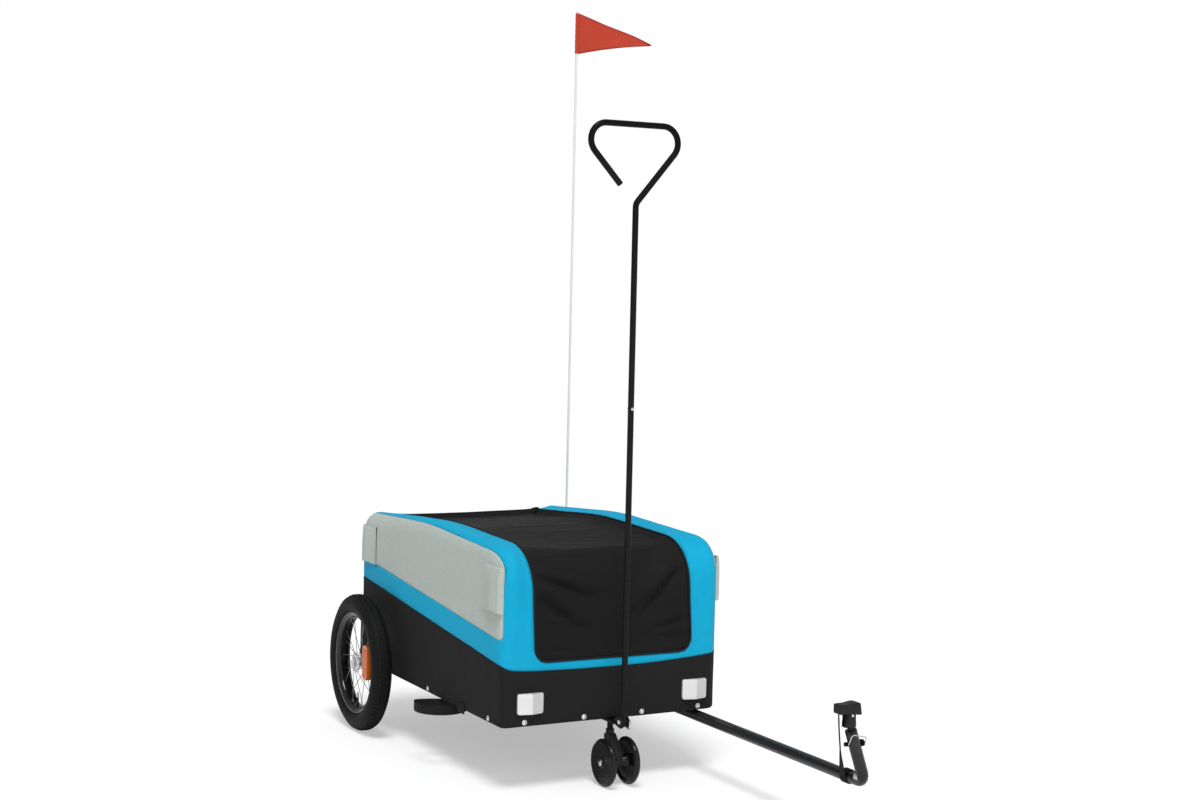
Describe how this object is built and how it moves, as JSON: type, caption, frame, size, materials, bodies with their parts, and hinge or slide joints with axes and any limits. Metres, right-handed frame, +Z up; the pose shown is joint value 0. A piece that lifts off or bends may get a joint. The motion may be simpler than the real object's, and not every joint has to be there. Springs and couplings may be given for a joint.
{
  "type": "bicycle cargo trailer",
  "caption": "Fabric-sided cargo trailer for a bicycle, with spoked wheels, a side tow bar, a pull handle over a front caster, a hinged cover and a tall pennant.",
  "frame": {"origin": "centre of the cargo floor's upper face, on the trailer's centre plane", "axes": "+X to the trailer's left side, +Y towards its rear, +Z up; the front faces -Y"},
  "size_m": [0.7775, 1.3591, 1.64],
  "materials": {
    "black_fabric": "coated black cloth, matt",
    "cover_fabric": "coated black cloth, slight sheen",
    "blue_fabric": "bright blue woven cloth",
    "grey_fabric": "light grey woven cloth",
    "webbing": "black webbing",
    "black_steel": "gloss black powder coat",
    "frame_steel": "satin black powder coat",
    "bright_steel": "zinc and chrome plate",
    "rubber": "black rubber",
    "black_plastic": "moulded black plastic",
    "floor_board": "dark plastic board",
    "white_lens": "clear white reflector lens",
    "red_lens": "red reflector lens",
    "orange_lens": "orange reflector lens",
    "white_rod": "white glass-fibre rod",
    "flag_cloth": "orange-red flag cloth"
  },
  "bodies": {
    "trailer_body": {"right_side_rail": "frame_steel", "left_side_rail": "frame_steel", "front_rail": "frame_steel", "rear_rail": "frame_steel", "middle_cross_member": "frame_steel", "axle_cross_member": "frame_steel", "floor_panel": "floor_board", "right_hoop": "frame_steel", "left_hoop": "frame_steel", "front_top_bar": "frame_steel", "rear_top_bar": "frame_steel", "lower_body_fabric": "black_fabric", "upper_body_fabric": "blue_fabric", "right_side_panel": "grey_fabric", "left_side_panel": "grey_fabric", "right_front_flap": "grey_fabric", "left_front_flap": "grey_fabric", "right_rear_flap": "grey_fabric", "left_rear_flap": "grey_fabric", "right_front_reflector": "white_lens", "left_front_reflector": "white_lens", "right_rear_reflector": "red_lens", "left_rear_reflector": "red_lens", "right_axle_bracket": "frame_steel", "left_axle_bracket": "frame_steel", "right_axle": "bright_steel", "left_axle": "bright_steel", "front_bracket": "black_steel", "handle_pivot_pin": "bright_steel", "handle_pin_ring": "bright_steel", "tow_clamp_front": "black_plastic", "tow_clamp_rear": "black_plastic", "flag_cup": "black_plastic", "storage_loop": "webbing"},
    "right_wheel": {"right_tyre": "rubber", "right_wheel_rim": "black_steel", "right_hub_and_spokes": "bright_steel", "right_spoke_reflector": "orange_lens"},
    "left_wheel": {"left_tyre": "rubber", "left_wheel_rim": "black_steel", "left_hub_and_spokes": "bright_steel", "left_spoke_reflector": "orange_lens"},
    "caster": {"caster_yoke": "black_plastic", "caster_axle": "bright_steel"},
    "caster_right_roller": {"caster_right_wheel": "rubber"},
    "caster_left_roller": {"caster_left_wheel": "rubber"},
    "handle": {"handle_lower_tube": "black_steel", "handle_upper_tube": "black_steel", "handle_joint_bolt": "bright_steel"},
    "towing_arm": {"tow_bar": "black_steel", "hitch_ball": "black_plastic", "hitch_pin": "black_steel", "hitch_pin_bail": "bright_steel", "safety_strap": "webbing"},
    "clamp_knob": {"tow_clamp_knob": "black_plastic"},
    "hitch": {"hitch_head": "black_plastic"},
    "cover": {"top_cover": "cover_fabric", "cover_piping": "webbing"},
    "flag_mast": {"flag_pole": "white_rod", "flag": "flag_cloth"}
  },
  "joints": [
    {"name": "right_wheel_spin", "type": "hinge", "parent": "trailer_body", "child": "right_wheel", "pos_m": [-0.294, 0.2515, -0.0081], "axis": [1, 0, 0], "continuous": true},
    {"name": "left_wheel_spin", "type": "hinge", "parent": "trailer_body", "child": "left_wheel", "pos_m": [0.294, 0.2515, -0.0081], "axis": [1, 0, 0], "continuous": true},
    {"name": "caster_swivel", "type": "hinge", "parent": "trailer_body", "child": "caster", "pos_m": [0, -0.3715, -0.0491], "axis": [0, 0, 1], "continuous": true},
    {"name": "caster_right_wheel_spin", "type": "hinge", "parent": "caster", "child": "caster_right_roller", "pos_m": [-0.0262, -0.397, -0.1104], "axis": [1, 0, 0], "continuous": true},
    {"name": "caster_left_wheel_spin", "type": "hinge", "parent": "caster", "child": "caster_left_roller", "pos_m": [0.0262, -0.397, -0.1104], "axis": [1, 0, 0], "continuous": true},
    {"name": "handle_fold", "type": "hinge", "parent": "trailer_body", "child": "handle", "pos_m": [0, -0.4255, -0.0241], "axis": [1, 0, 0], "range_deg": [0, 80]},
    {"name": "tow_bar_pull", "type": "slide", "parent": "trailer_body", "child": "towing_arm", "axis": [0, -1, 0], "range_m": [0, 0.12]},
    {"name": "clamp_knob_turn", "type": "hinge", "parent": "trailer_body", "child": "clamp_knob", "pos_m": [0.2282, -0.2525, -0.0426], "axis": [1, 0, 0], "range_deg": [0, 360]},
    {"name": "hitch_swivel", "type": "hinge", "parent": "towing_arm", "child": "hitch", "pos_m": [0.17107, -0.942, 0.06755], "axis": [0, 0, 1], "range_deg": [-60, 60], "deforming": ["safety_strap"]},
    {"name": "cover_open", "type": "hinge", "parent": "trailer_body", "child": "cover", "pos_m": [0, 0.3522, 0.30433], "axis": [-1, 0, 0], "range_deg": [0, 100]},
    {"name": "flag_pole_lift", "type": "slide", "parent": "trailer_body", "child": "flag_mast", "axis": [0, 0, 1], "range_m": [0, 0.2]}
  ]
}
